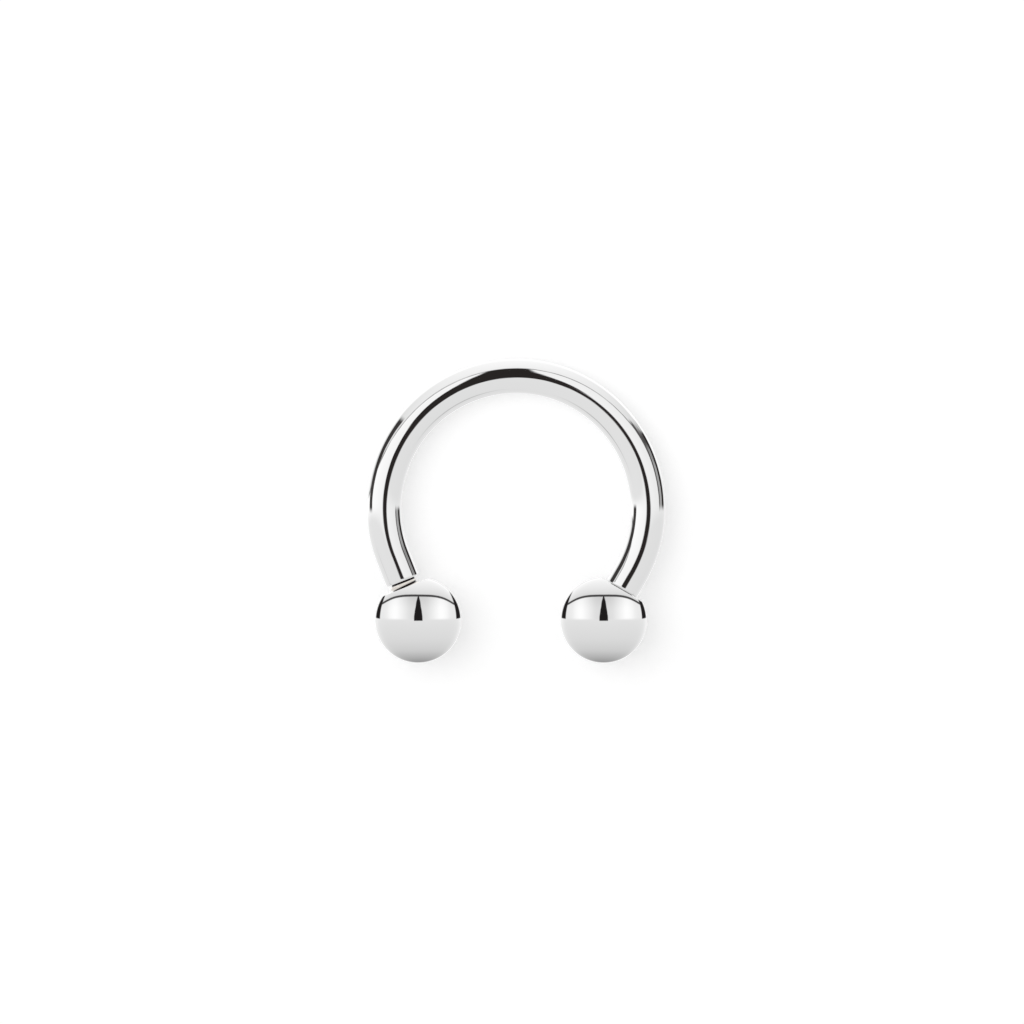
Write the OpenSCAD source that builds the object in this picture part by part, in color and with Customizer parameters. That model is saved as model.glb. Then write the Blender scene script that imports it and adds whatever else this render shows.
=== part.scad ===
// Horseshoe barbell: one length of round polished wire, bent to an open ring, with a straight
// leg at each end and a ball screwed on each leg. It lies on its side, on both balls and on the
// far side of the bend. The origin is under the middle of the whole piece, on the surface that
// it lies on. +X runs from the left ball to the right one, +Y from the balls to the bend's
// middle and +Z up.

/* [Bar] */
// Diameter of the round wire
wire_d = 1.2; // [0.8:0.1:2]
// Clear diameter inside the bend
ring_inner_d = 8; // [6:0.5:14]
// Bevel on the edge at each end of the wire
wire_bevel = 0.03; // [0.02:0.01:0.06]

/* [Left end] */
// How far the left leg leans in from the ring's upright line, in degrees
left_lean = 21.5; // [10:0.5:40]
// Straight length between the bend and the left end of the wire
left_leg = 0.92; // [0.4:0.02:2]
// Gap between the left end of the wire and its ball, which is one turn short of tight
left_gap = 0.24; // [0.02:0.02:0.4]

/* [Right end] */
// How far the right leg leans in from the ring's upright line, in degrees
right_lean = 30; // [10:0.5:40]
// Straight length between the bend and the right end of the wire
right_leg = 0.61; // [0.4:0.01:2]
// Gap between the right end of the wire and its ball, which is screwed tight
right_gap = 0.02; // [0.02:0.02:0.4]

/* [Balls] */
// Diameter of each ball
ball_d = 3; // [2.4:0.1:4.5]
// Width of the flat that is left on a ball all round the end of the wire
seat_margin = 0.27; // [0.1:0.01:0.35]
// Metal between the point of a ball's bore and the ball's far side
ball_floor = 0.7; // [0.4:0.05:1]
// Width of the bevel at the mouth of a ball's bore
mouth_bevel = 0.02; // [0.01:0.01:0.05]

/* [Screw posts] */
// How far a post's surface lies below the surface of the wire
post_step = 0.1; // [0.06:0.01:0.15]
// Bevel at the tip of a post
post_bevel = 0.12; // [0.05:0.01:0.2]
// Gap between the side of a post and the side of its bore
bore_clearance = 0.03; // [0.02:0.01:0.08]
// Gap between the tip of a post and the bottom of its bore when the ball is tight
bore_room = 0.1; // [0.05:0.05:0.3]

/* [Hidden] */
$fn = 96;

LEFT = -1;
RIGHT = 1;
// Half of the included angle of a common drill's point
DRILL_HALF_ANGLE = 59;
// How far a cutting body reaches past the face that it cuts
PAST = 1;
// A leg starts this far inside the bend, and its radius is this much less than the wire's, so
// that the straight start lies wholly inside the curved end that it is one with
LEG_ROOT = 0.1;
LEG_EASE = 0.002;

wire_r = wire_d / 2;
ring_r = ring_inner_d / 2 + wire_r;
ball_r = ball_d / 2;

// A ball's seat: a flat that is wider than the wire's end, cut square to the bore
seat_r = wire_r + seat_margin;
seat_height = sqrt(ball_r * ball_r - seat_r * seat_r);

post_r = wire_r - post_step;
bore_r = post_r + bore_clearance;
drill_point = bore_r / tan(DRILL_HALF_ANGLE);
bore_depth = seat_height + ball_r - ball_floor - drill_point;
post_len = bore_depth - bore_room;

// A ball's centre, measured in the ring's own plane from the ring's centre
function leg_start(side, lean) = ring_r * [side * cos(lean), -sin(lean)];
function leg_way(side, lean) = [-side * sin(lean), -cos(lean)];
function ball_centre(side, lean, reach) = leg_start(side, lean) + reach * leg_way(side, lean);

left_centre = ball_centre(LEFT, left_lean, left_leg + left_gap + seat_height);
right_centre = ball_centre(RIGHT, right_lean, right_leg + right_gap + seat_height);

// How the piece rests: the line through both balls' centres is turned level, and the ring's
// plane tips until the thick balls and the thin wire all touch the surface
balls_line = right_centre - left_centre;
level_turn = atan2(balls_line.y, balls_line.x);
balls_drop = left_centre.x * sin(level_turn) - left_centre.y * cos(level_turn);
tip_angle = asin((ball_r - wire_r) / (ring_r + balls_drop));
left_x = left_centre.x * cos(level_turn) + left_centre.y * sin(level_turn);
right_x = right_centre.x * cos(level_turn) + right_centre.y * sin(level_turn);

// The resting piece's outer limits about the ring's centre, which set the origin
far_left = min(-ring_r - wire_r, left_x - ball_r);
far_right = max(ring_r + wire_r, right_x + ball_r);
far_back = ring_r * cos(tip_angle) + wire_r;
far_front = -balls_drop * cos(tip_angle) - ball_r;
ring_place = [
    -(far_left + far_right) / 2,
    -(far_front + far_back) / 2,
    ball_r - balls_drop * sin(tip_angle)
];

// Lays what is drawn flat round the ring's centre down in its resting place
module at_rest() {
    translate(ring_place)
        rotate([-tip_angle, 0, 0])
            rotate([0, 0, -level_turn])
                children();
}

// Puts what is drawn up the Z axis at the start of a leg, pointing down the leg
module along_leg(side, lean) {
    start = leg_start(side, lean);
    translate([start.x, start.y, 0])
        rotate([90, 0, -side * lean])
            children();
}

// A round rod up the Z axis from the origin, with a bevel round its far end
module bevelled_rod(radius, length, bevel) {
    cylinder(r = radius, h = length - bevel);
    translate([0, 0, length - bevel])
        cylinder(r1 = radius, r2 = radius - bevel, h = bevel);
}

// A straight leg of the wire, rooted in the bend, with the post that its ball screws on
module leg(length) {
    translate([0, 0, -LEG_ROOT])
        bevelled_rod(wire_r - LEG_EASE, LEG_ROOT + length, wire_bevel);
    translate([0, 0, length / 2])
        bevelled_rod(post_r, length / 2 + post_len, post_bevel);
}

// The bore of a ball, up the Z axis from its mouth
module blind_bore() {
    translate([0, 0, -PAST])
        cylinder(r = bore_r, h = bore_depth + PAST);
    translate([0, 0, bore_depth])
        cylinder(r1 = bore_r, r2 = 0, h = drill_point);
    cylinder(r1 = bore_r + mouth_bevel, r2 = bore_r, h = mouth_bevel);
}

// A ball with its seat square on the Z axis at the origin and its bore pointing up
module screw_ball() {
    difference() {
        translate([0, 0, seat_height])
            sphere(r = ball_r);
        translate([0, 0, -ball_r])
            cylinder(r = ball_r + PAST, h = ball_r);
        blind_bore();
    }
}

// The bent wire from post to post, one solid
module curved_bar() {
    color("silver")
        at_rest() {
            rotate([0, 0, -right_lean])
                rotate_extrude(angle = 180 + left_lean + right_lean)
                    translate([ring_r, 0])
                        circle(r = wire_r);
            along_leg(LEFT, left_lean)
                leg(left_leg);
            along_leg(RIGHT, right_lean)
                leg(right_leg);
        }
}

// The ball on the left leg
module ball_left() {
    color("gainsboro")
        at_rest()
            along_leg(LEFT, left_lean)
                translate([0, 0, left_leg + left_gap])
                    screw_ball();
}

// The ball on the right leg
module ball_right() {
    color("gainsboro")
        at_rest()
            along_leg(RIGHT, right_lean)
                translate([0, 0, right_leg + right_gap])
                    screw_ball();
}

curved_bar();
ball_left();
ball_right();
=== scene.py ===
"""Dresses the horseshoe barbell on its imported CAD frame.

The bar is one length of polished wire with a cut screw at each end, and a ball is screwed on each
end. Sizes are in millimetres and degrees until a finished piece is laid down, in metres, where the
frame has it.
"""

import logging
from collections.abc import Iterable, Sequence
from dataclasses import dataclass
from enum import Enum
from math import asin, atan2, ceil, cos, degrees, hypot, pi, radians, sin, sqrt, tan

import bmesh
import bpy
from bmesh.types import BMEdge, BMesh, BMVert
from bpy.types import Material, Node, NodeSocket, NodeTree, Object, World
from mathutils import Matrix, Vector


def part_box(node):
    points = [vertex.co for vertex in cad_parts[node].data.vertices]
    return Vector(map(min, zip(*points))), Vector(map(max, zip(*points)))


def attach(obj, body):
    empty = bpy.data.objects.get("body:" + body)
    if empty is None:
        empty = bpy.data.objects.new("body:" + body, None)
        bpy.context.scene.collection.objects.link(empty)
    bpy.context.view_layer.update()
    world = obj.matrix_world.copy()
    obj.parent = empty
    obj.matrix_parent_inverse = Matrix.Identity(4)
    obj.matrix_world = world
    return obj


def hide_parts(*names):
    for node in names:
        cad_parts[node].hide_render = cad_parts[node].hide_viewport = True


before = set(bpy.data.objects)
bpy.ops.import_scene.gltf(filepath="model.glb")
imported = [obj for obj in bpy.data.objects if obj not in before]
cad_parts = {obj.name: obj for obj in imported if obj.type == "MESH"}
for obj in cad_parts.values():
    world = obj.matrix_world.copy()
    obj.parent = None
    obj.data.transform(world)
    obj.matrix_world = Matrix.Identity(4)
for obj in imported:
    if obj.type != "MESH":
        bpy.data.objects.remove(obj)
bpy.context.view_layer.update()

log = logging.getLogger("horseshoe_barbell")

MM = 0.001  # metres in a millimetre
WELD_DISTANCE = 1e-4  # points nearer than this, in mm, are one point
CUT_DISTANCE = 1e-5  # points nearer than this to a cut, in mm, lie on it
SHARP_ANGLE = radians(32)  # an edge that turns more than this is left crisp
RIGHT_ANGLE = 90.0  # degrees
FULL_TURN = 360.0
STRAIGHT_WIRE = "straight_wire"  # where a point of the bar lay before the wire was bent, in mm
SIDES = 96  # facets round everything that is turned, so that its parts fit each other
Pair = tuple[float, float]
Curve = tuple[Pair, ...]


class Side(Enum):
    """The side of the ring, as the camera sees it."""

    LEFT = -1
    RIGHT = 1


class Piece(Enum):
    """The object's pieces, with the names of their CAD nodes."""

    CURVED_BAR = "curved_bar"
    BALL_LEFT = "ball_left"
    BALL_RIGHT = "ball_right"


class Body(Enum):
    """The CAD bodies that the pieces ride on."""

    BAR = "bar"
    BALL_LEFT = "ball_left"
    BALL_RIGHT = "ball_right"


@dataclass(frozen=True)
class Sizes:
    """The driving sizes, the same as the CAD's, in millimetres."""

    wire_d: float = 1.2
    ring_inner_d: float = 8.0
    ball_d: float = 3.0
    seat_margin: float = 0.27
    ball_floor: float = 0.7
    post_step: float = 0.1
    bore_clearance: float = 0.03
    bore_room: float = 0.1
    drill_half_angle: float = 59.0
    screw_pitch: float = 0.22

    @property
    def wire_r(self) -> float:
        """The wire's radius."""
        return self.wire_d / 2

    @property
    def ring_r(self) -> float:
        """The radius of the bend at the wire's centre."""
        return self.ring_inner_d / 2 + self.wire_r

    @property
    def ball_r(self) -> float:
        """A ball's radius."""
        return self.ball_d / 2

    @property
    def seat_r(self) -> float:
        """The radius of the flat where a ball meets the wire."""
        return self.wire_r + self.seat_margin

    @property
    def seat_height(self) -> float:
        """From a ball's centre to its seat."""
        return sqrt(self.ball_r**2 - self.seat_r**2)

    @property
    def post_r(self) -> float:
        """The radius over the crests of the screw."""
        return self.wire_r - self.post_step

    @property
    def bore_r(self) -> float:
        """The radius of a ball's bore."""
        return self.post_r + self.bore_clearance

    @property
    def drill_point(self) -> float:
        """The height of the cone that the drill leaves at the end of a bore."""
        return self.bore_r / tan(radians(self.drill_half_angle))

    @property
    def bore_depth(self) -> float:
        """From a ball's seat to the end of the bore's straight side."""
        return self.seat_height + self.ball_r - self.ball_floor - self.drill_point

    @property
    def post_length(self) -> float:
        """From the wire's end to the tip of its screw."""
        return self.bore_depth - self.bore_room


@dataclass(frozen=True)
class WireEnd:
    """One end of the bar, from the end of the bend to its ball's seat."""

    side: Side
    lean: float  # how far the leg leans in, in degrees
    leg: float  # its straight length
    gap: float  # from the end of the wire to the ball
    body: Body
    ball: Piece

    @property
    def start_angle(self) -> float:
        """Where the bend ends, in degrees round the ring from its right-hand side."""
        return FULL_TURN / 2 + self.lean if self.side is Side.LEFT else -self.lean


LEFT_END = WireEnd(Side.LEFT, lean=21.5, leg=0.92, gap=0.24, body=Body.BALL_LEFT, ball=Piece.BALL_LEFT)
RIGHT_END = WireEnd(Side.RIGHT, lean=30.0, leg=0.61, gap=0.02, body=Body.BALL_RIGHT, ball=Piece.BALL_RIGHT)


class RestingPlace:
    """Where the barbell lies: flat on its side, on both balls and on the far side of the bend.

    The ring's own axes are right and up, as the camera sees them, and face, towards the camera.
    """

    def __init__(self, sizes: Sizes) -> None:
        """Works out the ring's place from how the piece rests.

        Args:
            sizes: The driving sizes.
        """
        self.sizes = sizes
        left, right = self.ball_centre(LEFT_END), self.ball_centre(RIGHT_END)
        line = right - left
        level = atan2(line.y, line.x)
        drop = left.x * sin(level) - left.y * cos(level)
        tip = asin((sizes.ball_r - sizes.wire_r) / (sizes.ring_r + drop))
        outer_r = sizes.ring_r + sizes.wire_r
        turned = Matrix.Rotation(-level, 3, "Z")
        far_left = min(-outer_r, (turned @ left).x - sizes.ball_r)
        far_right = max(outer_r, (turned @ right).x + sizes.ball_r)
        far_back = sizes.ring_r * cos(tip) + sizes.wire_r
        far_front = -drop * cos(tip) - sizes.ball_r
        self.centre = Vector((
            -(far_left + far_right) / 2,
            -(far_front + far_back) / 2,
            sizes.ball_r - drop * sin(tip),
        ))
        self.turn = (Matrix.Rotation(-tip, 3, "X") @ turned).to_4x4()
        self.to_frame = Matrix.Scale(MM, 4) @ Matrix.Translation(self.centre) @ self.turn

    def ball_centre(self, end: WireEnd) -> Vector:
        """The centre of the ball on an end of the bar, on the ring's own axes."""
        return self.leg_frame(end) @ Vector((0, 0, end.leg + end.gap + self.sizes.seat_height))

    def leg_frame(self, end: WireEnd) -> Matrix:
        """Lays a leg drawn up the Z axis on its end of the bend.

        Args:
            end: The end of the bar.

        Returns:
            The matrix from the leg's own axes to the ring's. The leg's Z axis points to its ball and
            its X axis points away from the ring's centre.
        """
        angle = radians(end.start_angle)
        outward = Vector((cos(angle), sin(angle), 0))
        way = Vector((sin(angle), -cos(angle), 0)) * end.side.value
        axes = Matrix((outward, way.cross(outward), way)).transposed()
        return Matrix.Translation(outward * self.sizes.ring_r) @ axes.to_4x4()

    def axis(self, right: float = 0, up: float = 0, face: float = 0) -> Vector:
        """A direction on the ring's axes, in the frame."""
        return self.turn.to_3x3() @ Vector((right, up, face))


# Modelling


def rim_at(mesh: BMesh, height: float) -> list[BMEdge]:
    """Finds the open rim of a shape that is drawn up the Z axis.

    Args:
        mesh: The mesh being made.
        height: The rim's height.

    Returns:
        The rim's edges.
    """
    return [
        edge
        for edge in mesh.edges
        if edge.is_boundary and all(abs(v.co.z - height) < WELD_DISTANCE for v in edge.verts)
    ]


def draw_out(mesh: BMesh, rim: Sequence[BMEdge], stations: Iterable[Pair]) -> list[BMEdge]:
    """Extrudes a round rim through stations along the Z axis, as a lathe would turn it.

    Args:
        mesh: The mesh being made.
        rim: The edges of the round rim.
        stations: The radius and the height of each station.

    Returns:
        The edges of the last station's rim.
    """
    for radius, height in stations:
        made = bmesh.ops.extrude_edge_only(mesh, edges=list(rim))["geom"]
        verts = [part for part in made if isinstance(part, BMVert)]
        rim = [part for part in made if isinstance(part, BMEdge)]
        growth = radius / hypot(verts[0].co.x, verts[0].co.y)
        rise = height - verts[0].co.z
        bmesh.ops.scale(mesh, vec=(growth, growth, 1), verts=verts)
        bmesh.ops.translate(mesh, vec=(0, 0, rise), verts=verts)
        rim = [edge for edge in rim if all(v in verts for v in edge.verts)]
    return list(rim)


def rounded_corner(radius: float, height: float, size: float, rise: float, steps: int) -> list[Pair]:
    """The radius and height of each station round a convex corner, from its end face to its side."""
    # The corner is taken back by its size from the side, and by its rise along the axis
    turns = [pi / 2 * step / steps for step in range(steps + 1)]
    return [(radius - size * (1 - sin(turn)), height + rise * (1 - cos(turn))) for turn in turns]


def join(mesh: BMesh, part: BMesh, place: Matrix) -> None:
    """Adds a part to a mesh that is being made.

    Args:
        mesh: The mesh being made.
        part: The part, on its own axes. It is freed.
        place: The matrix from its own axes to the mesh's.
    """
    bmesh.ops.transform(part, matrix=place, verts=part.verts)
    carrier = bpy.data.meshes.new("carrier")
    part.to_mesh(carrier)
    part.free()
    mesh.from_mesh(carrier)
    bpy.data.meshes.remove(carrier)


def make_object(mesh: BMesh, name: str) -> Object:
    """Makes a mesh an object of the scene.

    Args:
        mesh: The mesh. It is freed.
        name: The object's name.

    Returns:
        The object, at the origin.
    """
    data = bpy.data.meshes.new(name)
    mesh.to_mesh(data)
    mesh.free()
    made = bpy.data.objects.new(name, data)
    bpy.context.scene.collection.objects.link(made)
    return made


def lay_down(mesh: BMesh, piece: Piece, place: Matrix, finishes: Iterable[Material]) -> Object:
    """Finishes a mesh and makes it an object of the scene, at the origin and in metres.

    Args:
        mesh: The mesh, on its own axes in mm. It is freed.
        piece: The piece that it makes.
        place: The matrix from its own axes to the frame.
        finishes: The materials that its faces number.

    Returns:
        The finished object.
    """
    bmesh.ops.remove_doubles(mesh, verts=mesh.verts, dist=WELD_DISTANCE)
    bmesh.ops.transform(mesh, matrix=place, verts=mesh.verts)
    bmesh.ops.recalc_face_normals(mesh, faces=mesh.faces)
    for face in mesh.faces:
        face.smooth = True
    for edge in mesh.edges:
        edge.smooth = edge.calc_face_angle(0) < SHARP_ANGLE
    open_edges = sum(not edge.is_manifold for edge in mesh.edges)
    made = make_object(mesh, piece.value + "_dressed")
    # In the photograph the pieces reflect the studio but not each other
    made.visible_glossy = False
    log.info("%s: %d faces, %d open edges", made.name, len(made.data.polygons), open_edges)
    for finish in finishes:
        made.data.materials.append(finish)
    return made


@dataclass(frozen=True)
class ScrewThread:
    """A right-hand thread, made by winding its section round the Z axis."""

    crest_r: float
    root_r: float
    pitch: float
    spare_turns: int = 2  # wound past each end, and cut off there
    # The section of one turn: the share of the pitch, and the share of the thread's height
    section: Curve = (
        (0.0, 0.0), (0.1, 0.05), (0.34, 0.88), (0.42, 1.0), (0.58, 1.0), (0.66, 0.88), (0.9, 0.05)
    )
    crest_share: float = 0.5  # where the middle of the crest is in that section

    def wind(self, mesh: BMesh, start: float, end: float, crest: float) -> None:
        """Winds the thread between two heights and leaves a round, open rim at each.

        Args:
            mesh: The mesh being made. Nothing else is in it yet.
            start: The height where the thread starts.
            end: The height where it ends.
            crest: The height of a crest on the X axis.
        """
        turns_below = ceil((crest - start) / self.pitch) + self.spare_turns
        turns = ceil((end - start) / self.pitch) + 2 * self.spare_turns
        foot = crest - self.pitch * (turns_below + self.crest_share)
        height = self.crest_r - self.root_r
        points = [
            mesh.verts.new((self.root_r + height * rise, 0, foot + self.pitch * (turn + share)))
            for turn in range(turns)
            for share, rise in self.section
        ]
        outline = [mesh.edges.new(pair) for pair in zip(points, points[1:])]
        # Each turn ends where the next one starts, so the two are welded below and not by the spin
        bmesh.ops.spin(
            mesh, geom=points + outline, cent=(0, 0, 0), axis=(0, 0, 1), angle=2 * pi, steps=SIDES,
            dvec=(0, 0, self.pitch / SIDES), use_merge=False,
        )
        bmesh.ops.remove_doubles(mesh, verts=mesh.verts, dist=WELD_DISTANCE)
        for level, way in ((start, -1), (end, 1)):
            bmesh.ops.bisect_plane(
                mesh, geom=mesh.verts[:] + mesh.edges[:] + mesh.faces[:], dist=CUT_DISTANCE,
                plane_co=(0, 0, level), plane_no=(0, 0, way), clear_outer=True,
            )
            self.even_out(mesh, level)

    def even_out(self, mesh: BMesh, level: float) -> None:
        """Brings a cut rim back to one point a side, so that it fits the rims it is welded to.

        Args:
            mesh: The mesh being made.
            level: The rim's height.
        """
        rim = dict.fromkeys(vert for edge in rim_at(mesh, level) for vert in edge.verts)
        # Each point's angle, counted in sides
        angles = {vert: atan2(vert.co.y, vert.co.x) / (2 * pi / SIDES) for vert in rim}
        keep: dict[int, BMVert] = {}
        spare: dict[BMVert, BMVert] = {}
        for vert in sorted(rim, key=lambda v: abs(angles[v] - round(angles[v]))):
            side = round(angles[vert]) % SIDES
            if side in keep:
                spare[vert] = keep[side]
            else:
                keep[side] = vert
        bmesh.ops.weld_verts(mesh, targetmap=spare)

    def trim(self, mesh: BMesh, height: float, radius: float, slope: float) -> None:
        """Cuts the crests back to a cone, as a lathe tool trims the first and last turn.

        Args:
            mesh: The mesh being made.
            height: The height of the cone's end.
            radius: The cone's radius there.
            slope: How fast the cone widens over a screw, or narrows in a bore, from there.
        """
        in_a_bore = self.crest_r < self.root_r
        for vert in mesh.verts:
            reach = hypot(vert.co.x, vert.co.y)
            change = slope * abs(vert.co.z - height)
            limit = max(reach, radius - change) if in_a_bore else min(reach, radius + change)
            if limit != reach:
                bmesh.ops.scale(mesh, vec=(limit / reach, limit / reach, 1), verts=[vert])


@dataclass(frozen=True)
class CurvedBar:
    """The bent wire, with a relief groove and a cut screw past each end."""

    sizes: Sizes
    place: RestingPlace
    finishes: tuple[Material, Material]  # of the wire, and of the grooves and screws
    bend_steps: int = 208
    corner: float = 0.05  # how far the rounding at each end of the wire reaches in
    corner_rise: float = 0.08  # how far it reaches back along the leg
    corner_steps: int = 4
    hold: float = 0.012  # a facet this wide beside a rounding keeps the long face next to it even
    groove_r: float = 0.425
    groove_length: float = 0.06
    screw_root_r: float = 0.425
    first_crest: float = 0.095  # from the wire's end, on the side that faces the camera
    tip_r: float = 0.33
    tip_slope: float = 1.0  # how fast the screw widens from its tip
    start_slope: float = 2.0  # how fast it widens from the groove

    def build(self) -> Object:
        """Makes the bar and rides it on the bar's body.

        Returns:
            The finished bar.
        """
        mesh = self.bend_wire()
        for end in (LEFT_END, RIGHT_END):
            join(mesh, self.turn_end(end), self.place.leg_frame(end))
        self.remember_straight_wire(mesh)
        made = lay_down(mesh, Piece.CURVED_BAR, self.place.to_frame, self.finishes)
        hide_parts(Piece.CURVED_BAR.value)
        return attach(made, Body.BAR.value)

    def bend_wire(self) -> BMesh:
        """Bends the round wire, from the right end of the bend to the left one.

        Returns:
            The open bend, on the ring's axes.
        """
        mesh = bmesh.new()
        section = bmesh.ops.create_circle(mesh, segments=SIDES, radius=self.sizes.wire_r)["verts"]
        start = radians(RIGHT_END.start_angle)
        lay = (
            Matrix.Rotation(start, 4, "Z")
            @ Matrix.Translation((self.sizes.ring_r, 0, 0))
            @ Matrix.Rotation(pi / 2, 4, "X")
        )
        bmesh.ops.transform(mesh, matrix=lay, verts=section)
        bmesh.ops.spin(
            mesh, geom=section + mesh.edges[:], cent=(0, 0, 0), axis=(0, 0, 1),
            angle=radians(LEFT_END.start_angle) - start, steps=self.bend_steps, use_merge=False,
        )
        return mesh

    def turn_end(self, end: WireEnd) -> BMesh:
        """Makes a straight leg with its rounded end, its relief groove and its screw.

        Args:
            end: The end of the bar.

        Returns:
            The leg, up the Z axis from the bend, and open where it meets the bend.
        """
        mesh = bmesh.new()
        wire_r = self.sizes.wire_r
        groove_end = end.leg + self.groove_length
        tip = end.leg + self.sizes.post_length
        thread = ScrewThread(self.sizes.post_r, self.screw_root_r, self.sizes.screw_pitch)
        # The first crest faces the camera, a quarter turn from the leg's X axis
        quarter = self.sizes.screw_pitch / 4 * end.side.value
        thread.wind(mesh, groove_end, tip, crest=end.leg + self.first_crest - quarter)
        thread.trim(mesh, groove_end, self.groove_r, self.start_slope)
        thread.trim(mesh, tip, self.tip_r, self.tip_slope)
        bmesh.ops.holes_fill(mesh, edges=rim_at(mesh, tip), sides=SIDES)
        draw_out(mesh, rim_at(mesh, groove_end), [(self.groove_r, end.leg)])
        cut = set(mesh.faces)
        end_face = [(wire_r - self.corner - self.hold, end.leg)]
        corner = rounded_corner(wire_r, end.leg, self.corner, -self.corner_rise, self.corner_steps)
        side = [(wire_r, end.leg - self.corner_rise - self.hold), (wire_r, 0.0)]
        draw_out(mesh, rim_at(mesh, end.leg), end_face + corner + side)
        for face in mesh.faces:
            face.material_index = 1 if face in cut else 0
        return mesh

    def remember_straight_wire(self, mesh: BMesh) -> None:
        """Stores where each point lay before the wire was bent, for the marks that run along it.

        Args:
            mesh: The whole bar, on the ring's axes.
        """
        layer = mesh.verts.layers.float_vector.new(STRAIGHT_WIRE)
        first, last = RIGHT_END.start_angle, LEFT_END.start_angle
        for vert in mesh.verts:
            # The ring is open at its foot, so its angles run on from there
            angle = degrees(atan2(vert.co.y, vert.co.x))
            angle += FULL_TURN if angle < -RIGHT_ANGLE else 0
            if first <= angle <= last:
                along = self.sizes.ring_r * radians(angle - first)
                vert[layer] = (along, vert.co.xy.length - self.sizes.ring_r, vert.co.z)
                continue
            end = LEFT_END if angle > last else RIGHT_END
            local = self.place.leg_frame(end).inverted() @ vert.co
            bend = self.sizes.ring_r * radians(last - first)
            along = bend + local.z if end is LEFT_END else -local.z
            vert[layer] = (along, local.x, vert.co.z)


@dataclass(frozen=True)
class ScrewBall:
    """A ball with a flat seat and a blind bore with a cut thread."""

    sizes: Sizes
    place: RestingPlace
    end: WireEnd
    finishes: tuple[Material, Material]  # of the ball, and of its bore
    rings: int = 72
    mouth_r: float = 0.57
    thread_root_r: float = 0.565
    thread_slope: float = 1.0  # how fast the thread narrows from each end of the bore
    drill_tip_r: float = 0.02
    seat_edge: float = 0.012  # the rounding at the rim of the seat
    seat_edge_facets: int = 3
    seat_hold: float = 0.024  # from the rim to the edge that keeps the flat even

    def build(self) -> Object:
        """Makes the ball and rides it on its own body.

        Returns:
            The finished ball.
        """
        mesh = self.turn_ball()
        join(mesh, self.cut_bore(), Matrix.Identity(4))
        seat = Matrix.Translation((0, 0, self.end.leg + self.end.gap))
        place = self.place.to_frame @ self.place.leg_frame(self.end) @ seat
        made = lay_down(mesh, self.end.ball, place, self.finishes)
        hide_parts(self.end.ball.value)
        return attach(made, self.end.body.value)

    def turn_ball(self) -> BMesh:
        """Makes the ball's outside and its flat seat, open at the bore.

        Returns:
            The ball, with its seat at the origin and its middle up the Z axis.
        """
        mesh = bmesh.new()
        middle = Matrix.Translation((0, 0, self.sizes.seat_height))
        bmesh.ops.create_uvsphere(
            mesh, u_segments=SIDES, v_segments=self.rings, radius=self.sizes.ball_r, matrix=middle
        )
        bmesh.ops.bisect_plane(
            mesh, geom=mesh.verts[:] + mesh.edges[:] + mesh.faces[:], dist=WELD_DISTANCE,
            plane_co=(0, 0, 0), plane_no=(0, 0, -1), clear_outer=True,
        )
        seat_rim = rim_at(mesh, 0)
        draw_out(mesh, seat_rim, [(self.sizes.seat_r - self.seat_hold, 0), (self.mouth_r, 0)])
        bmesh.ops.bevel(
            mesh, geom=seat_rim, offset=self.seat_edge, offset_type="OFFSET", affect="EDGES",
            segments=self.seat_edge_facets, profile=0.5, material=-1,
        )
        return mesh

    def cut_bore(self) -> BMesh:
        """Makes the threaded bore, with the cone that the drill leaves.

        Returns:
            The bore, up the Z axis from its mouth.
        """
        mesh = bmesh.new()
        depth = self.sizes.bore_depth
        thread = ScrewThread(self.sizes.bore_r, self.thread_root_r, self.sizes.screw_pitch)
        thread.wind(mesh, 0, depth, crest=self.sizes.screw_pitch)
        thread.trim(mesh, 0, self.mouth_r, self.thread_slope)
        thread.trim(mesh, depth, self.thread_root_r, self.thread_slope)
        cone = [(self.sizes.bore_r, depth), (self.drill_tip_r, depth + self.sizes.drill_point)]
        tip = draw_out(mesh, rim_at(mesh, depth), cone)
        bmesh.ops.holes_fill(mesh, edges=tip, sides=SIDES)
        for face in mesh.faces:
            face.material_index = 1
        return mesh


# Finishes


def linear(hex_colour: str) -> tuple[float, float, float, float]:
    """Turns an sRGB hex colour to the linear colour that nodes take.

    Args:
        hex_colour: Six hex digits, such as "C9C6C2".

    Returns:
        Red, green, blue and 1.
    """
    shares = [int(hex_colour[i : i + 2], 16) / 255 for i in (0, 2, 4)]
    red, green, blue = [s / 12.92 if s <= 0.04045 else ((s + 0.055) / 1.055) ** 2.4 for s in shares]
    return red, green, blue, 1.0


def empty_material(name: str) -> Material:
    """Makes a node material.

    Args:
        name: The material's name.

    Returns:
        The material, with no node in it yet.
    """
    made = bpy.data.materials.new(name)
    made.use_nodes = True
    made.node_tree.nodes.clear()
    return made


Drawn = Node | NodeSocket  # what a step of a drawing gives


def add_node(
    tree: NodeTree, kind: str, inputs: dict[str, object] | Sequence[object] = (), **settings: object
) -> Node:
    """Adds a node with its settings, and links or fills its inputs.

    Args:
        tree: The node tree.
        kind: The node's type, without ShaderNode before it.
        inputs: A value, a socket, or a node whose first output is meant, for each input that is
            named, or else for the first inputs in order.
        settings: The node's own settings.

    Returns:
        The new node.
    """
    node = tree.nodes.new("ShaderNode" + kind)
    for name, value in settings.items():
        setattr(node, name, value)
    for name, value in inputs.items() if isinstance(inputs, dict) else enumerate(inputs):
        if isinstance(value, Node):
            value = value.outputs[0]
        if isinstance(value, NodeSocket):
            tree.links.new(value, node.inputs[name])
        else:
            node.inputs[name].default_value = value
    return node


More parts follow.
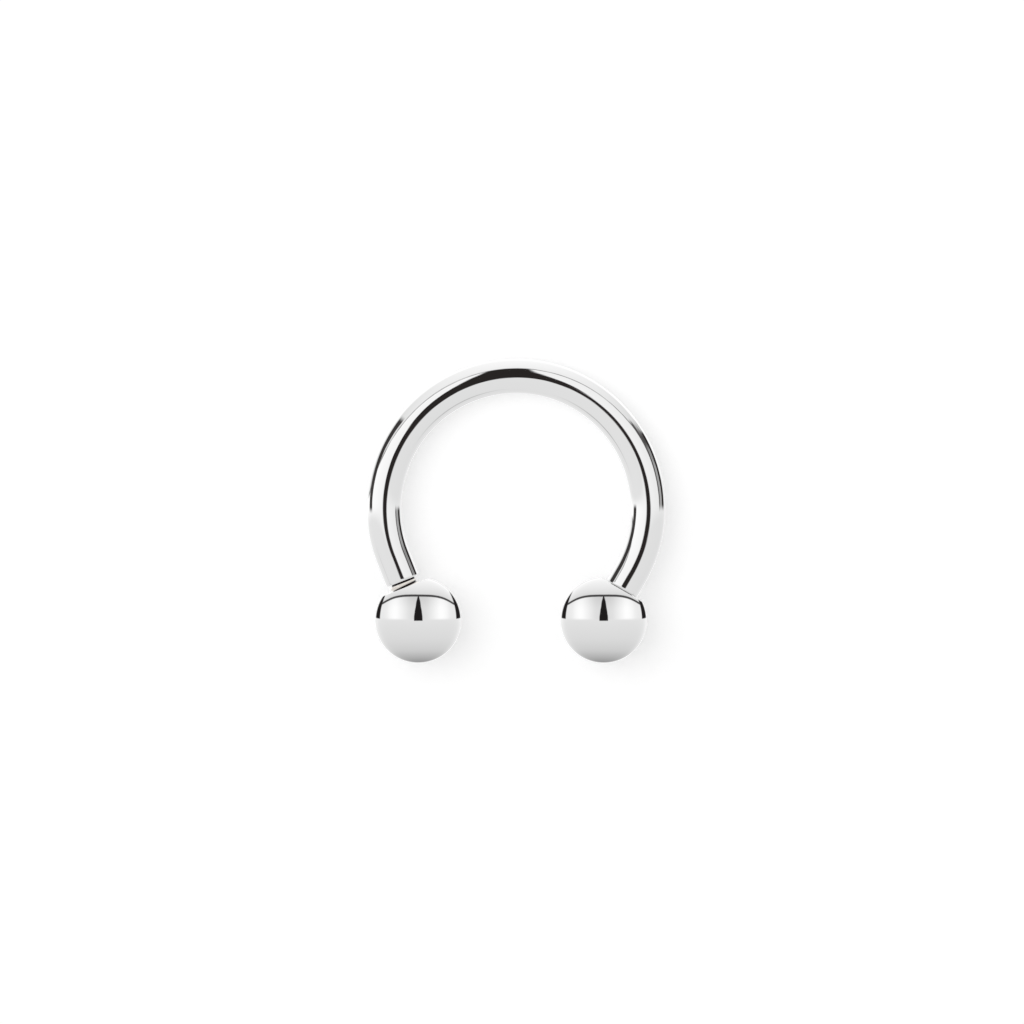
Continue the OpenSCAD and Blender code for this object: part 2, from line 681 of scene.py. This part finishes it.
def band(value: Drawn, low: float, high: float, blur: float) -> Node:
    """Draws a soft-edged band.

    Args:
        value: What the band lies across.
        low: Where the band starts.
        high: Where it ends.
        blur: The width of each soft edge.

    Returns:
        A node that gives 1 in the band and 0 outside it.
    """
    rising, falling = [
        add_node(
            value.id_data,
            "MapRange",
            {"Value": value, "From Min": edge - blur / 2, "From Max": edge + blur / 2},
            interpolation_type="SMOOTHSTEP",
        )
        for edge in (low, high)
    ]
    return add_node(value.id_data, "Math", (rising, falling), operation="SUBTRACT")


class MarksFollow(Enum):
    """What the fine marks of a finish follow."""

    THE_WIRE = "the wire"
    THE_PIECE = "the piece"


@dataclass(frozen=True)
class Steel:
    """Surgical steel (316L), neutral where it is polished and a little warm where it is cut, with painted
    shade darkening its creases.
    """

    name: str
    roughness: float
    roughness_spread: float
    mark_width: float  # across the marks, in mm
    mark_length: float  # along the marks, in mm
    colour: str = "CACACA"
    marks_follow: MarksFollow = MarksFollow.THE_PIECE
    mark_depth: float = 0.0004  # in mm
    mark_octaves: float = 3.0
    mark_grain: float = 0.6  # how strong the finest of them are
    mark_range: Pair = (0.3, 0.7)  # nearly all of the noise is between these
    crease_width: float = 0.08  # how far the painted shade of a crease reaches over the steel beside it, in mm
    crease_depth: float = 0.5  # how strongly it does
    crease_samples: int = 8
    # The colour of the painted shade in creases and in a screw's roots
    crease_shade_colour: str = "14110F"
    root_shade_r: Pair = (0.0, 0.0)  # how far off the wire's middle the painted shade in a screw's roots lies
    root_shade_edge: float = 0.045  # how softly it ends, in mm

    def make(self) -> Material:
        """Makes the material.

        Returns:
            The node material.
        """
        made = empty_material(self.name)
        tree = made.node_tree
        long, wide = 1 / self.mark_length, 1 / self.mark_width
        if self.marks_follow is MarksFollow.THE_WIRE:
            where = add_node(tree, "Attribute", attribute_name=STRAIGHT_WIRE).outputs["Vector"]
            density = (long, wide, wide)
        else:
            where = add_node(tree, "TexCoord").outputs["Object"]
            density = (wide / MM, wide / MM, long / MM)
        laid = add_node(tree, "Mapping", {"Vector": where, "Scale": density})
        grain = {"Scale": 1.0, "Detail": self.mark_octaves, "Roughness": self.mark_grain}
        marks = add_node(tree, "TexNoise", {"Vector": laid, **grain})
        low, high = self.mark_range
        spread = {
            "Value": marks, "From Min": low, "From Max": high,
            "To Min": self.roughness - self.roughness_spread,
            "To Max": self.roughness + self.roughness_spread,
        }
        rough = add_node(tree, "MapRange", spread)
        relief = add_node(tree, "Bump", {"Height": marks, "Distance": self.mark_depth * MM})
        # Painted shade: the steel's colour is darkened in its creases, by ambient occlusion, and in the
        # roots of a screw's thread
        open_air = add_node(
            tree, "AmbientOcclusion", {"Distance": self.crease_width * MM}, samples=self.crease_samples
        ).outputs["AO"]
        unshaded = add_node(tree, "Math", (open_air, self.crease_depth), operation="POWER")
        inner, outer = self.root_shade_r
        if outer:
            across = add_node(tree, "VectorMath", (where, (0, 1, 1)), operation="MULTIPLY")
            off_middle = add_node(tree, "VectorMath", (across,), operation="LENGTH")
            shaded_roots = band(off_middle.outputs["Value"], inner, outer, self.root_shade_edge)
            unshaded = add_node(tree, "Math", (unshaded, shaded_roots), operation="SUBTRACT", use_clamp=True)
        tones = {"Factor": unshaded, "A": linear(self.crease_shade_colour), "B": linear(self.colour)}
        colour = add_node(tree, "Mix", tones, data_type="RGBA").outputs["Result"]
        look = {"Base Color": colour, "Metallic": 1.0, "Roughness": rough, "Normal": relief}
        surface = add_node(tree, "BsdfPrincipled", look)
        add_node(tree, "OutputMaterial", {"Surface": surface})
        return made


# Drawn wire, polished to a mirror: the eye sees crisp reflections, a little drawn out along the wire
POLISHED_WIRE = Steel(
    name="mirror_polished_steel_wire",
    roughness=0.035,
    roughness_spread=0.02,
    marks_follow=MarksFollow.THE_WIRE,
    mark_width=0.07,
    mark_length=2.5,
    mark_depth=0.001,
)
# A ball tumbled to a mirror: the eye sees crisp reflections with hardly a ripple
POLISHED_BALL = Steel(
    name="mirror_polished_steel_ball",
    roughness=0.025,
    roughness_spread=0.015,
    mark_width=0.25,
    mark_length=0.25,
)
# A cut screw: the eye sees bright, satin crests between black roots, whose black is painted shade
CUT_SCREW = Steel(
    name="cut_steel_screw",
    colour="C9C4BE",
    roughness=0.32,
    roughness_spread=0.08,
    marks_follow=MarksFollow.THE_WIRE,
    mark_width=0.03,
    mark_length=0.03,
    crease_width=0.04,
    crease_depth=0.6,
    # Where the painted shade darkens the roots of the thread
    root_shade_r=(0.375, 0.4525),
)
# A tapped bore, seen once its ball is off: the eye sees a dark hole with a faint spiral, its darkness
# painted shade
TAPPED_BORE = Steel(
    name="tapped_steel_bore",
    colour="A9A6A1",
    roughness=0.22,
    roughness_spread=0.08,
    mark_width=0.04,
    mark_length=0.04,
    # Painted shade that reaches across the whole bore
    crease_width=1.2,
    crease_depth=2.5,
)


# Studio

FAR = 9.0  # past the edge of every drawing


@dataclass(frozen=True)
class Bar:
    """A narrow dark arc near the rim of the drawing, on one side of it."""

    side: Side
    inner: float  # how far out its inner edge is
    outer: float
    foot: float = 0.0  # where it starts, in degrees above the table
    head: float = 38.0  # where it ends
    swell: float = 0.0  # how much further out the inner edge is at a right angle above the table
    depth: float = 1.0  # how dark it is
    fade: float = 3.0  # how softly its ends fade, in degrees


@dataclass(frozen=True)
class Oval:
    """A dark oval with a soft edge."""

    right: float  # how far right its middle is
    up: float  # how high its middle is
    half_length: float
    half_width: float
    turn: float  # how far its length is turned from level, in degrees
    blur: float = 0.4


@dataclass(frozen=True, kw_only=True)
class CardLayout:
    """What a mirror ball that faces the camera would show of the tent, on a disc of radius 1.

    The table is below the middle line. A white card stands above it, up to the line of its top edge,
    with a dark slot up its middle and dark bars at its sides. The tent's roof is above the card.
    """

    name: str
    black_card: str
    card_top: Curve  # how far out, and how high
    top_lean: float = 0.0  # how much higher the right end of that edge is
    top_line: float
    top_line_depth: float
    slot: Curve  # how high, and the slot's half width there
    slot_middle: float = 0.0
    slot_foot: Oval | None = None
    bars: tuple[Bar, ...]
    table: Curve  # how low, and how bright
    table_lean: float = 0.0  # how much darker the table's right side is
    table_edge: Pair  # how high the table's far edge stands, and how softly it ends
    card: Curve  # how far out, and how bright
    card_lean: float = 0.0
    card_shade: float = 0.0  # how much darker the card is at its top
    roof: Curve  # how far over the card, and how bright
    roof_shade: float = 0.0  # how much darker the roof is at its sides
    roof_rim: float = 0.88  # how far out that shade ends


BAR_CARDS = CardLayout(
    name="bar_tent",
    black_card="282524",
    card_top=((0.0, 0.435), (0.24, 0.41), (0.35, 0.37), (0.5, 0.3), (1.0, 0.1)),
    top_lean=0.07,
    top_line=0.035,
    top_line_depth=0.7,
    slot=(
        (0.0, 0.045), (0.05, 0.055), (0.1, 0.085), (0.17, 0.073),
        (0.25, 0.068), (0.43, 0.068), (1.0, 0.068),
    ),
    slot_middle=-0.025,
    slot_foot=Oval(right=0.045, up=-0.02, half_length=0.125, half_width=0.085, turn=-20.0),
    bars=(
        Bar(Side.LEFT, inner=0.68, outer=0.835, foot=-1.0, swell=-0.4, depth=0.97),
        # Two dark lines with a grey gap, which is darkest high up
        Bar(Side.RIGHT, inner=0.645, outer=0.705, head=37.0, swell=-0.4, depth=0.9, fade=4.0),
        Bar(Side.RIGHT, inner=0.705, outer=0.8, head=31.0, depth=0.57),
        Bar(Side.RIGHT, inner=0.69, outer=0.82, foot=23.0, head=33.5, depth=0.92, fade=9.0),
        Bar(Side.RIGHT, inner=0.8, outer=0.905, head=31.5),
        Bar(Side.RIGHT, inner=0.86, outer=0.9, foot=30.0, head=36.0, depth=0.5, fade=5.0),
        # Hairlines where the tent's cloth is seamed
        Bar(Side.RIGHT, inner=0.735, outer=0.775, foot=-75.0, head=-43.0, depth=0.45, fade=30.0),
        Bar(Side.LEFT, inner=0.735, outer=0.775, foot=-60.0, head=-26.0, depth=0.45, fade=30.0),
    ),
    table=((0.0, 0.755), (0.3, 0.74), (0.85, 0.72), (1.0, 0.69)),
    table_lean=0.02,
    table_edge=(-0.04, 0.12),
    card=((0.0, 0.9), (1.0, 0.9)),
    card_lean=0.13,
    roof=((0.0, 0.86), (0.3, 0.93), (1.0, 0.97)),
    roof_shade=0.5,
)

BALL_CARDS = CardLayout(
    name="ball_tent",
    black_card="1F1D1D",
    card_top=(
        (0.0, 0.567), (0.2, 0.565), (0.35, 0.556), (0.5, 0.53),
        (0.6, 0.498), (0.7, 0.45), (0.8, 0.39), (1.0, 0.25),
    ),
    top_line=0.05,
    top_line_depth=0.93,
    slot=(
        (0.0, 0.1), (0.08, 0.098), (0.15, 0.0885), (0.22, 0.08), (0.3, 0.064),
        (0.42, 0.047), (0.48, 0.032), (0.57, 0.012), (1.0, 0.0),
    ),
    bars=tuple(
        Bar(side, inner=0.885, outer=0.982, foot=1.0, head=44.0, swell=0.43, fade=1.5) for side in Side
    ),
    table=(
        (0.0, 0.765), (0.12, 0.745), (0.3, 0.72), (0.45, 0.695), (0.6, 0.645),
        (0.7, 0.6), (0.8, 0.5), (0.87, 0.42), (0.93, 0.33), (1.0, 0.2),
    ),
    table_edge=(0.025, 0.12),
    card=(
        (0.0, 0.73), (0.17, 0.74), (0.3, 0.83), (0.42, 0.93),
        (0.53, 1.0), (0.65, 0.95), (0.75, 0.85), (1.0, 0.8),
    ),
    card_shade=0.1,
    roof=((0.0, 0.66), (0.12, 0.77), (0.35, 0.88), (1.0, 0.9)),
)


def curve(value: Drawn, points: Curve) -> Node:
    """Looks a value up on a smooth curve.

    Args:
        value: The value, from 0 to 1.
        points: The curve's points, from left to right.

    Returns:
        A node that gives the curve's height.
    """
    made = add_node(value.id_data, "FloatCurve", {"Value": value})
    line = made.mapping.curves[0]
    line.points[0].location, line.points[-1].location = points[0], points[-1]
    for point in points[1:-1]:
        line.points.new(*point)
    made.mapping.update()
    return made


def overlap(shape: Drawn, *others: Drawn | float) -> Node:
    """Draws where shapes lie over each other, or thins a shape by a number.

    Args:
        shape: The first shape.
        others: The other shapes, and the numbers.

    Returns:
        A node that gives their product.
    """
    for other in others:
        shape = add_node(shape.id_data, "Math", (shape, other), operation="MULTIPLY")
    return shape


@dataclass(frozen=True)
class MirrorMap:
    """Where a mirror ball that faces the camera would show each place of the tent."""

    tree: NodeTree
    place: Node  # right, up and towards the camera, on the ball
    right: NodeSocket
    up: NodeSocket
    out: Node  # how far to either side
    reach: NodeSocket  # how far from the ball's middle
    slant: Node  # how high above the table, as a share of a right angle
    level: NodeSocket  # how high in the tent itself
    front: NodeSocket  # how near the camera in the tent itself
    over_top: Node  # how far above the card's top edge, less than 0 on the card

    @classmethod
    def lay(cls, tree: NodeTree, cards: CardLayout) -> "MirrorMap":
        """Works the map out from the tent's own coordinates.

        Args:
            tree: The node tree to draw in.
            cards: The layout that is drawn on the map.

        Returns:
            The map.
        """
        spot = add_node(tree, "TexCoord").outputs["Object"]
        way = add_node(tree, "VectorMath", (spot,), operation="NORMALIZE")
        halfway = add_node(tree, "VectorMath", (way, (0, 0, 1)), operation="ADD")
        place = add_node(tree, "VectorMath", (halfway,), operation="NORMALIZE")
        on_ball = add_node(tree, "SeparateXYZ", (place,)).outputs
        in_tent = add_node(tree, "SeparateXYZ", (way,)).outputs
        flat = add_node(tree, "VectorMath", (place, (1, 1, 0)), operation="MULTIPLY")
        reach = add_node(tree, "VectorMath", (flat,), operation="LENGTH")
        out = add_node(tree, "Math", (on_ball["X"],), operation="ABSOLUTE")
        angle = add_node(tree, "Math", (on_ball["Y"], out), operation="ARCTAN2")
        slant = add_node(tree, "Math", (angle, pi / 2), operation="DIVIDE")
        right, up = on_ball["X"], on_ball["Y"]
        leant = add_node(tree, "Math", (right, -cards.top_lean, up), operation="MULTIPLY_ADD")
        top = curve(out, cards.card_top)
        over_top = add_node(tree, "Math", (leant, top), operation="SUBTRACT")
        return cls(
            tree=tree, place=place, right=right, up=up, out=out, reach=reach.outputs["Value"],
            slant=slant, level=in_tent["Y"], front=in_tent["Z"], over_top=over_top,
        )


@dataclass(frozen=True)
class CardTent:
    """A light tent of white cloth and black card, which only some of the pieces reflect."""

    layout: CardLayout
    place: RestingPlace
    radius: float  # each tent has its own, so that no two have their cloth in one place
    subdivisions: int = 5
    brightness: float = 1.68
    blur: float = 0.02
    shade_edge: Pair = (0.4, 0.4)  # how high the card's shade starts, and how softly
    roof_rim_blur: float = 0.04
    behind: Pair = (-0.93, 0.1)  # where the cloth behind starts, and how softly
    behind_tone: float = 0.66
    cards_end: Pair = (-0.95, 0.06)  # no card reaches further back than here

    def build(self, receivers: Sequence[Object]) -> Object:
        """Makes the tent round the object.

        Args:
            receivers: The pieces that it lights.

        Returns:
            The tent, a part of the stage.
        """
        mesh = bmesh.new()
        bmesh.ops.create_icosphere(mesh, subdivisions=self.subdivisions, radius=self.radius * MM)
        bmesh.ops.reverse_faces(mesh, faces=mesh.faces)
        made = make_object(mesh, self.layout.name)
        made.matrix_world = Matrix.Translation(self.place.centre * MM) @ self.place.turn
        made.visible_camera = made.visible_diffuse = made.visible_shadow = False
        made.visible_transmission = made.visible_volume_scatter = False
        made.data.materials.append(self.cloth())
        lit = bpy.data.collections.new(self.layout.name + "_receivers")
        for piece in receivers:
            lit.objects.link(piece)
        made.light_linking.receiver_collection = lit
        return made

    def cloth(self) -> Material:
        """Makes the tent's lit cloth, with its cards drawn on it.

        Returns:
            The material, which light from outside passes through.
        """
        made = empty_material(self.layout.name + "_cloth")
        made.cycles.emission_sampling = "NONE"
        tree = made.node_tree
        ball = MirrorMap.lay(tree, self.layout)
        dark, lit = self.black_cards(ball), self.lit_cloth(ball)
        tones = {"Factor": dark, "A": lit, "B": linear(self.layout.black_card)}
        colour = add_node(tree, "Mix", tones, data_type="RGBA").outputs["Result"]
        light = add_node(tree, "Emission", {"Color": colour, "Strength": self.brightness})
        clear = add_node(tree, "BsdfTransparent")
        cloth = add_node(tree, "AddShader", (light, clear))
        add_node(tree, "OutputMaterial", {"Surface": cloth})
        return made

    def lit_cloth(self, ball: MirrorMap) -> Node:
        """Draws how bright the table, the card and the roof are.

        Args:
            ball: The map to draw on.

        Returns:
            A node that gives the tone.
        """
        cards, tree = self.layout, ball.tree
        inside_rim = band(ball.reach, -FAR, cards.roof_rim, self.roof_rim_blur)
        aside = overlap(ball.out, ball.out, inside_rim)
        # Each tone, less its share of what darkens it
        table, card, roof = [
            add_node(tree, "Math", (where, -share, curve(across, tone)), operation="MULTIPLY_ADD")
            for across, tone, where, share in (
                (overlap(ball.up, -1.0), cards.table, ball.right, cards.table_lean),
                (ball.out, cards.card, ball.right, cards.card_lean),
                (ball.over_top, cards.roof, aside, cards.roof_shade),
            )
        ]
        edge, blur = self.shade_edge
        shade = band(ball.up, edge, FAR, blur)
        card = add_node(tree, "Math", (shade, -cards.card_shade, card), operation="MULTIPLY_ADD")
        on_roof = band(ball.over_top, 0, FAR, self.blur)
        above = add_node(tree, "Mix", {"Factor": on_roof, "A": card, "B": roof})
        edge, blur = cards.table_edge
        over_table = band(ball.level, edge, FAR, blur)
        lit = add_node(tree, "Mix", {"Factor": over_table, "A": table, "B": above})
        edge, blur = self.behind
        behind = band(ball.front, -FAR, edge, blur)
        return add_node(tree, "Mix", {"Factor": behind, "A": lit, "B": self.behind_tone})

    def black_cards(self, ball: MirrorMap) -> Node:
        """Draws the line of the card's top edge, the slot with its foot, and the bars.

        Args:
            ball: The map to draw on.

        Returns:
            A node that gives how dark it is.
        """
        cards, tree = self.layout, ball.tree
        farthest = max(bar.outer for bar in cards.bars)
        line = overlap(
            band(ball.over_top, -cards.top_line / 2, cards.top_line / 2, self.blur),
            band(ball.reach, -FAR, farthest, self.blur),
            cards.top_line_depth,
        )
        off_slot = add_node(tree, "Math", (ball.right, cards.slot_middle), operation="SUBTRACT")
        aside = add_node(tree, "Math", (off_slot,), operation="ABSOLUTE")
        half_width = curve(ball.up, cards.slot)
        past_slot = add_node(tree, "Math", (aside, half_width), operation="SUBTRACT")
        slot = overlap(
            band(past_slot, -FAR, 0, self.blur),
            band(ball.over_top, -FAR, 0, self.blur),
            band(ball.up, -self.blur, FAR, self.blur),
        )
        shapes = [line, slot] + [self.bar(ball, bar) for bar in cards.bars]
        if cards.slot_foot:
            shapes.append(self.oval(ball, cards.slot_foot))
        dark = shapes[0]
        for shape in shapes[1:]:
            dark = add_node(tree, "Math", (dark, shape), operation="MAXIMUM")
        end, blur = self.cards_end
        return overlap(dark, band(ball.front, end, FAR, blur))

    def bar(self, ball: MirrorMap, bar: Bar) -> Node:
        """Draws one bar.

        Args:
            ball: The map to draw on.
            bar: The bar.

        Returns:
            A node that gives how dark it is.
        """
        height = overlap(ball.slant, ball.slant)
        inside = add_node(
            ball.tree, "Math", (height, -bar.swell, ball.reach), operation="MULTIPLY_ADD"
        )
        sideways = overlap(ball.right, bar.side.value)
        foot, head, fade = [angle / RIGHT_ANGLE for angle in (bar.foot, bar.head, bar.fade)]
        return overlap(
            band(inside, bar.inner, FAR, self.blur),
            band(ball.reach, -FAR, bar.outer, self.blur),
            band(ball.slant, foot, head, fade),
            band(sideways, 0, FAR, self.blur),
            bar.depth,
        )

    @staticmethod
    def oval(ball: MirrorMap, oval: Oval) -> Node:
        """Draws one oval.

        Args:
            ball: The map to draw on.
            oval: The oval.

        Returns:
            A node that gives how dark it is.
        """
        tree = ball.tree
        middle = (oval.right, oval.up, 0)
        turn = {"Vector": ball.place, "Center": middle, "Angle": -radians(oval.turn)}
        turned = add_node(tree, "VectorRotate", turn, rotation_type="Z_AXIS")
        off_middle = add_node(tree, "VectorMath", (turned, middle), operation="SUBTRACT")
        stretch = (1 / oval.half_length, 1 / oval.half_width, 0)
        shares = add_node(tree, "VectorMath", (off_middle, stretch), operation="MULTIPLY")
        size = add_node(tree, "VectorMath", (shares,), operation="LENGTH")
        return band(size.outputs["Value"], -FAR, 1.0, oval.blur)


@dataclass(frozen=True)
class LightTable:
    """A plain white table of opal acrylic, lit from above and a little from below."""

    half_width: float = 600.0
    cells: int = 12
    colour: str = "F2F2F2"
    roughness: float = 0.9
    glow: float = 0.34

    def build(self) -> Object:
        """Makes the table.

        Returns:
            The table, a part of the stage.
        """
        mesh = bmesh.new()
        bmesh.ops.create_grid(
            mesh, x_segments=self.cells, y_segments=self.cells, size=self.half_width * MM
        )
        made = make_object(mesh, "light_table")
        # Its steel neighbours reflect the tents instead, which have their own table
        made.visible_glossy = False
        made.data.materials.append(self.acrylic())
        return made

    def acrylic(self) -> Material:
        """Makes the opal acrylic: matt, even and faintly lit from within.

        Returns:
            The node material.
        """
        made = empty_material("opal_acrylic")
        look = {
            "Base Color": linear(self.colour), "Roughness": self.roughness, "Specular IOR Level": 0.0,
            "Emission Color": (1, 1, 1, 1), "Emission Strength": self.glow,
        }
        surface = add_node(made.node_tree, "BsdfPrincipled", look)
        add_node(made.node_tree, "OutputMaterial", {"Surface": surface})
        return made


@dataclass(frozen=True)
class Studio:
    """The soft light, the view transform and the air round the table."""

    air_tone: float = 1.15  # what the camera sees past the table
    sky_light: float = 0.6  # the even light that the air throws on the table
    box_width: float = 500.0
    box_place: tuple[float, float, float] = (-250.0, 150.0, 600.0)
    box_power: float = 1.0  # in watts

    def build(self) -> None:
        """Sets up the world, the soft box and how the picture is shown."""
        scene = bpy.context.scene
        scene.view_settings.view_transform = "Standard"
        scene.view_settings.look = "None"
        scene.world = self.air()
        light = bpy.data.lights.new("soft_box", "AREA")
        light.shape = "DISK"
        light.size = self.box_width * MM
        light.energy = self.box_power
        made = bpy.data.objects.new("soft_box", light)
        scene.collection.objects.link(made)
        made.location = Vector(self.box_place) * MM
        made.rotation_euler = (-made.location).to_track_quat("-Z", "Y").to_euler()
        made.visible_glossy = False
        made.visible_camera = False

    def air(self) -> World:
        """Makes the pale air: seen behind the table, and an even light on it, but not in the steel.

        Returns:
            The world.
        """
        world = bpy.data.worlds.new("pale_air")
        world.use_nodes = True
        tree = world.node_tree
        tree.nodes.clear()
        ray = add_node(tree, "LightPath").outputs
        seen = overlap(ray["Is Camera Ray"], self.air_tone)
        lighting = overlap(ray["Is Diffuse Ray"], self.sky_light)
        strength = add_node(tree, "Math", (seen, lighting), operation="ADD")
        pale = add_node(tree, "Background", {"Color": (1, 1, 1, 1), "Strength": strength})
        add_node(tree, "OutputWorld", {"Surface": pale})
        return world


@dataclass(frozen=True)
class PhotoCamera:
    """A long lens that looks square at the ring, as the photograph does."""

    place: RestingPlace
    picture_side: float = 1024.0  # pixels
    scale: float = 28.7  # pixels in a millimetre at the ring
    ring_right: float = 4.0  # how far the ring's centre is from the picture's, in pixels
    ring_up: float = 4.0
    lens: float = 600.0
    sensor: float = 36.0
    clip: Pair = (0.01, 10.0)  # in metres

    def build(self) -> Object:
        """Makes the camera and sets it as the scene's.

        Returns:
            The camera.
        """
        data = bpy.data.cameras.new("photo_camera")
        data.lens, data.sensor_width = self.lens, self.sensor
        data.clip_start, data.clip_end = self.clip
        view_width = self.picture_side / self.scale
        distance = self.lens * view_width / self.sensor
        aim = self.place.axis(-self.ring_right / self.scale, -self.ring_up / self.scale, distance)
        made = bpy.data.objects.new("photo_camera", data)
        bpy.context.scene.collection.objects.link(made)
        made.matrix_world = Matrix.Translation((self.place.centre + aim) * MM) @ self.place.turn
        bpy.context.scene.camera = made
        return made


def check_against_frame(place: RestingPlace) -> None:
    """Logs how far the worked-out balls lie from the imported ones.

    Args:
        place: Where the barbell lies.
    """
    for end in (LEFT_END, RIGHT_END):
        low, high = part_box(end.ball.value)
        packed = Vector(((low.x + high.x) / 2, low.y + place.sizes.ball_r * MM, (low.z + high.z) / 2))
        centre = place.to_frame @ place.ball_centre(end)
        log.info("%s lies %.4f mm from its packed place", end.ball.value, (centre - packed).length / MM)


def main() -> None:
    """Builds the barbell, then the studio round it."""
    logging.basicConfig(level=logging.INFO, format="%(name)s: %(message)s")
    sizes = Sizes()
    place = RestingPlace(sizes)
    check_against_frame(place)
    bar = CurvedBar(sizes, place, (POLISHED_WIRE.make(), CUT_SCREW.make())).build()
    ball_finishes = (POLISHED_BALL.make(), TAPPED_BORE.make())
    balls = [ScrewBall(sizes, place, end, ball_finishes).build() for end in (LEFT_END, RIGHT_END)]
    LightTable().build()
    Studio().build()
    CardTent(BAR_CARDS, place, radius=400.0).build([bar])
    CardTent(BALL_CARDS, place, radius=440.0).build(balls)
    PhotoCamera(place).build()


if __name__ == "__main__":
    main()
